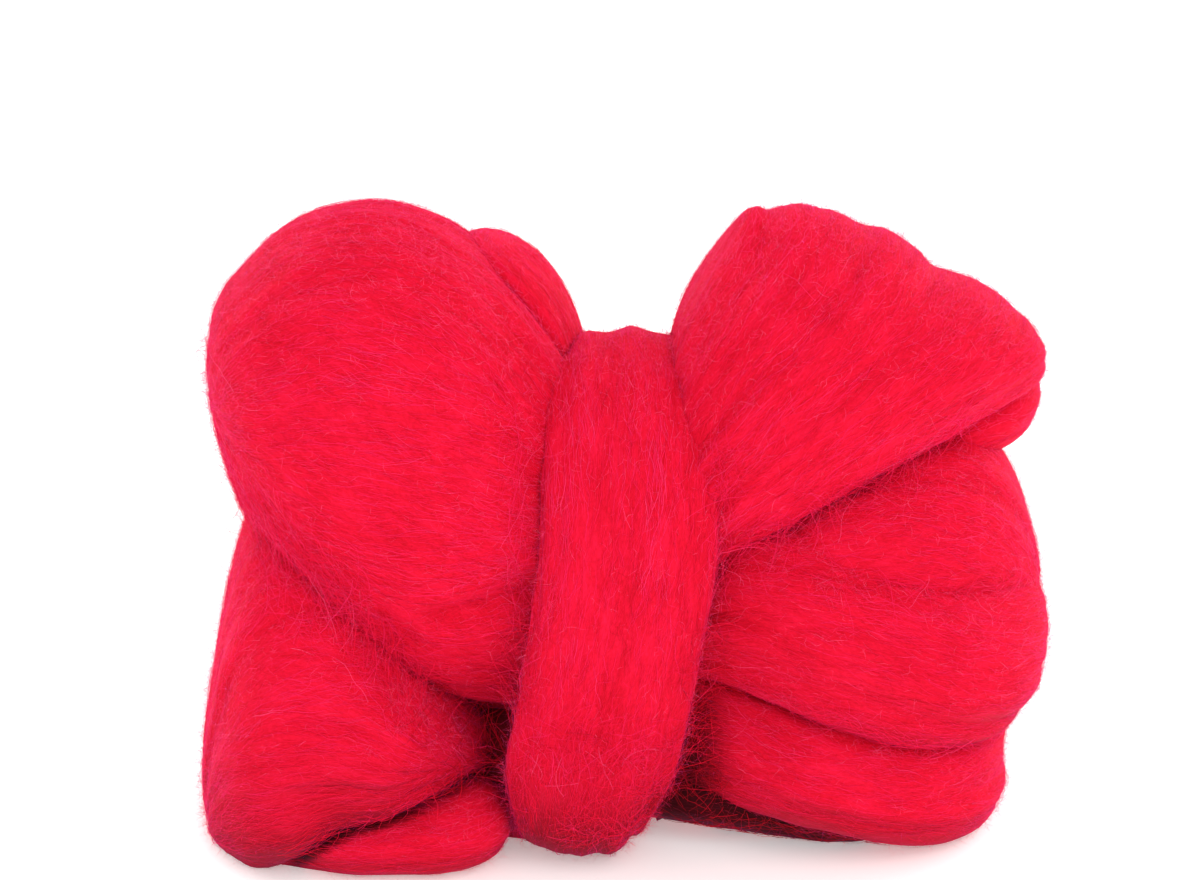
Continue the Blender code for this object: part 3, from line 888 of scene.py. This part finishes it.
def ribbon_piece(name, centre, flat, strip, material):
    """Fibres as ribbons: their centre lines, half widths (fibres, points, 3) and strips."""
    count, points = centre.shape[:2]
    verts = np.stack((centre - flat, centre + flat), axis=2)
    verts[..., 2] = np.maximum(verts[..., 2], FLOOR_GAP)
    uv = np.empty((count, points, 2, 2))
    uv[..., 0] = ((strip[:, None] + STRIP_SIDES) / TONES)[:, None]
    uv[..., 1] = np.linspace(*FIBRE_CHART, points)[:, None]

    def faces(grid):
        return np.stack((grid[:, :-1, 0], grid[:, :-1, 1], grid[:, 1:, 1], grid[:, 1:, 0]), axis=2)

    quads = faces(np.arange(count * points * 2).reshape(count, points, 2)).reshape(-1, 4)
    dress(grid_mesh(name, verts.reshape(-1, 3), quads, {"OFBake": faces(uv)}, material))


# -------------------- fibres
def to_strip(tone):
    return np.round(tone * (TONES - 1)).astype(int)


def shares(sheet):
    """How many of the fibres each point of the sheet gets."""
    share = sheet.area * (sheet.depth < BURIED) * ~sheet.below
    share = share * lerp(1.0, FRONT_COAT, fades(sheet.normal[..., 1], *COAT_SLOPE))
    share[[0, -1]] *= 0.5        # every point of these rows is there twice
    if sheet.name in GLOOM:
        share *= GLOOM_COAT
    return share * np.where(sheet.normal[..., 2] < UNDERSIDE, FLOOR_COAT, 1.0)


def coat(sheet, rng, share, count, look):
    """Centre lines, half widths and strips of fibres that lie on the sheet."""
    pick = rng.choice(share.size, count, p=share.ravel() / share.sum())
    row0, column0 = sheet.wrapped(
        pick // sheet.columns + rng.uniform(-0.5, 0.5, count),
        pick % sheet.columns + rng.uniform(-0.5, 0.5, count))
    half = look.points // 2
    step = rng.uniform(*look.length, count) / (look.points - 1)
    number = np.arange(look.points - 1) - half + 0.5
    turns = (look.stray * rng.standard_normal((count, 1))
             + look.curl * rng.standard_normal((count, 1)) * number / half
             + look.kink * rng.standard_normal((count, look.points - 1)))
    back = sheet.walk(row0, column0, turns[:, half - 1::-1], step, -1.0)
    ahead = sheet.walk(row0, column0, turns[:, half:], step, 1.0)
    row, column = (
        np.concatenate((before[:, :0:-1], after), axis=1) for before, after in zip(back, ahead))
    normal = unit(sheet.at(sheet.normal, row, column))
    lift = lerp(*look.lift, rng.random((count, 1)) ** look.lift_power)
    along = np.linspace(-1.0, 1.0, look.points)
    lean = np.sign(rng.uniform(-1.0, 1.0, (count, 1)))
    ends = lerp(along ** 2, 0.5 * (1.0 + lean * along) ** 2, look.one_ended)
    end_lift = rng.uniform(*look.end_lift, (count, 1)) * ends
    jitter = look.jitter * rng.standard_normal((count, look.points))
    rise = np.maximum(lift + end_lift + jitter, DEEPEST)
    centre = sheet.at(sheet.grid, row, column) + rise[..., None] * normal
    tangent = unit(np.gradient(centre, axis=1))
    sideways = unit(np.cross(tangent, normal))
    upright = np.cross(sideways, tangent)
    roll = look.roll * rng.uniform(-1.0, 1.0, (count, 1, 1))
    width = rng.uniform(*look.width, (count, 1, 1))
    taper = np.ones((look.points, 1))
    taper[[0, -1]] = FIBRE_TIP
    flat = (np.cos(roll) * sideways + np.sin(roll) * upright) * (0.5 * width * taper)
    # painted shade: the light at the fibre's start darkens its tone
    sky, streak = (sheet.at(grid, row0, column0) for grid in (sheet.sky, sheet.streak))
    return centre, flat, strips(rng, sky, streak, look)


def strips(rng, sky, streak, look):
    """Strip numbers: mostly middling, a few pale, and darker as painted shade where little light
    gets in.
    """
    tone = rng.normal(TONE_MIDDLE, TONE_SCATTER, len(sky))
    tone = np.clip(tone + STREAK_TONE * (streak + look.shift), *TONE_RANGE)
    tone = np.where(rng.random(len(sky)) < look.pale, rng.uniform(*PALE_RANGE, len(sky)), tone)
    return to_strip(tone * fades(sky, FULL_SKY, NO_SKY))


def make_coats(sheets, material):
    rng = np.random.default_rng(COAT_SEED)
    base = [shares(sheet) for sheet in sheets]
    total = sum(share.sum() for share in base)
    for sheet, share in zip(sheets, base):
        part = share.sum() / total
        loose = share
        if sheet.name == "wrap":
            loose = share * lerp(1.0, FOOT_FRIZZ, fades(sheet.grid[..., 2], *FOOT_HEIGHTS))
        rim = loose * lerp(1.0, RIM_FUZZ, 1.0 - np.abs(sheet.normal[..., 1]))
        for kind, where, fibres, look in (
                ("fibres_", share, BASE_FIBRES, BASE),
                ("frizz_", loose, FRIZZ_FIBRES, FRIZZ),
                ("fuzz_", rim, FUZZ_FIBRES, FUZZ)):
            ribbons = coat(sheet, rng, where, int(fibres * part), look)
            ribbon_piece(kind + sheet.name, *ribbons, material)


# -------------------- loose hairs
def laid(tree, line, lift, bridge):
    """A line of x and z as points on the front of the wool; bridge is how straight it goes."""
    y = np.full(len(line), np.nan)
    for k, (x, z) in enumerate(line):
        hit = tree.ray_cast(Vector((x, FAR_IN_FRONT, z)), Vector((0.0, 1.0, 0.0)))[0]
        if hit is not None:
            y[k] = hit.y
    known = np.flatnonzero(~np.isnan(y))
    if len(known) < 2:
        return None
    number = np.arange(len(line))
    y = np.interp(number, known, y[known])
    chord = lerp(y[0], y[-1], number / (len(line) - 1.0))
    y = np.minimum(y, lerp(y, chord, bridge)) - lift
    return np.stack((line[:, 0], y, line[:, 1]), axis=-1)


def veil_line(rng, veil):
    """The x and z of a loose fibre, somewhere in the veil."""
    share, aside = rng.random(), rng.normal(0.0, 0.5 * veil.spread)
    run = np.array((veil.x1 - veil.x0, veil.z1 - veil.z0))
    over = np.array((-run[1], run[0])) / np.linalg.norm(run)
    middle = np.array((veil.x0, veil.z0)) + share * run + aside * over
    heading = math.radians(veil.heading + rng.normal(0.0, veil.scatter))
    count = VEIL_POINTS - 1
    step = rng.uniform(*VEIL_LENGTH) * veil.length / count
    turns = heading + np.cumsum(rng.normal(0.0, VEIL_KINK, count) + rng.normal(0.0, VEIL_BEND))
    steps = step * np.stack((np.cos(turns), np.sin(turns)), axis=-1)
    line = np.concatenate((np.zeros((1, 2)), np.cumsum(steps, axis=0)))
    return line + (middle - line.mean(axis=0))


def make_veils(sheets, material):
    """Loose fibres that cross the creases, and the single hairs that catch the eye."""
    rng = np.random.default_rng(VEIL_SEED)
    tree = search_tree(sheets, 1)
    centres, tone = [], []
    for veil in VEILS:
        for _ in range(veil.count):
            line = veil_line(rng, veil)
            centre = laid(tree, line, rng.uniform(*VEIL_LIFT), rng.uniform(*VEIL_BRIDGE))
            if centre is not None and centre[:, 2].min() > LOWEST_VEIL:
                centres.append(centre)
                tone.append(np.clip(rng.normal(veil.tone, VEIL_TONE_SCATTER), *VEIL_TONES))
    for hair in HAIRS:
        path = np.array(hair.path, float)
        at = np.linspace(0.0, len(path) - 1.0, VEIL_POINTS)
        line = np.stack([np.interp(at, np.arange(len(path)), path[:, k]) for k in (0, 1)], axis=-1)
        centres.append(laid(tree, line, hair.lift, 1.0))
        tone.append(hair.tone)
    centre = np.stack(centres)
    tangent = unit(np.gradient(centre, axis=1))
    roll = rng.uniform(-1.0, 1.0, (len(centre), 1, 1))
    across = unit(np.cross(tangent, np.array((0.0, -1.0, 0.0))))
    flat = unit(across + roll * np.cross(across, tangent))
    width = rng.uniform(*VEIL_WIDTH, (len(centre), 1, 1))
    ribbon_piece("loose_hairs", centre, flat * 0.5 * width, to_strip(np.array(tone)), material)


# -------------------- the studio
def add_lamp(lamp):
    data = bpy.data.lights.new(lamp.name, "AREA")
    data.shape = "SQUARE"
    data.size = lamp.size
    data.energy = lamp.power
    light = bpy.data.objects.new(lamp.name, data)
    aim = Vector(lamp.target) - Vector(lamp.place)
    light.location = lamp.place
    light.rotation_euler = aim.to_track_quat("-Z", "Y").to_euler()
    bpy.context.collection.objects.link(light)


def add_camera():
    """A camera straight in front of the hank, looking down on it a little."""
    camera = bpy.data.cameras.new("camera")
    camera.lens, camera.sensor_width = CAMERA_LENS, CAMERA_SENSOR
    camera.clip_start = NEAREST_VISIBLE
    eye = bpy.data.objects.new("camera", camera)
    elevation = math.radians(CAMERA_ELEVATION)
    look = Vector((0.0, math.cos(elevation), -math.sin(elevation)))
    eye.location = Vector(CAMERA_AIM) - CAMERA_DISTANCE * look
    eye.rotation_euler = look.to_track_quat("-Z", "Y").to_euler()
    bpy.context.collection.objects.link(eye)
    bpy.context.scene.camera = eye


def make_studio():
    world = bpy.data.worlds.new("studio")
    world.use_nodes = True
    background = world.node_tree.nodes["Background"]
    background.inputs["Color"].default_value = WHITE
    background.inputs["Strength"].default_value = WORLD_LIGHT
    bpy.context.scene.world = world
    for lamp in LAMPS:
        add_lamp(lamp)
    bpy.ops.mesh.primitive_plane_add(size=FLOOR_SIZE, location=FLOOR_MIDDLE)
    floor = bpy.context.object
    floor.name = "floor"
    floor.data.materials.append(floor_material())
    add_camera()
    bpy.context.scene.view_settings.view_transform = "Standard"


make_studio()
all_sheets = make_sheets()
wool_skin, wool_fibre = skin_material(), fibre_material()
cover(all_sheets)
open_sky(all_sheets)
for each in all_sheets:
    skin_piece(each, wool_skin)
make_coats(all_sheets, wool_fibre)
make_veils(all_sheets, wool_fibre)
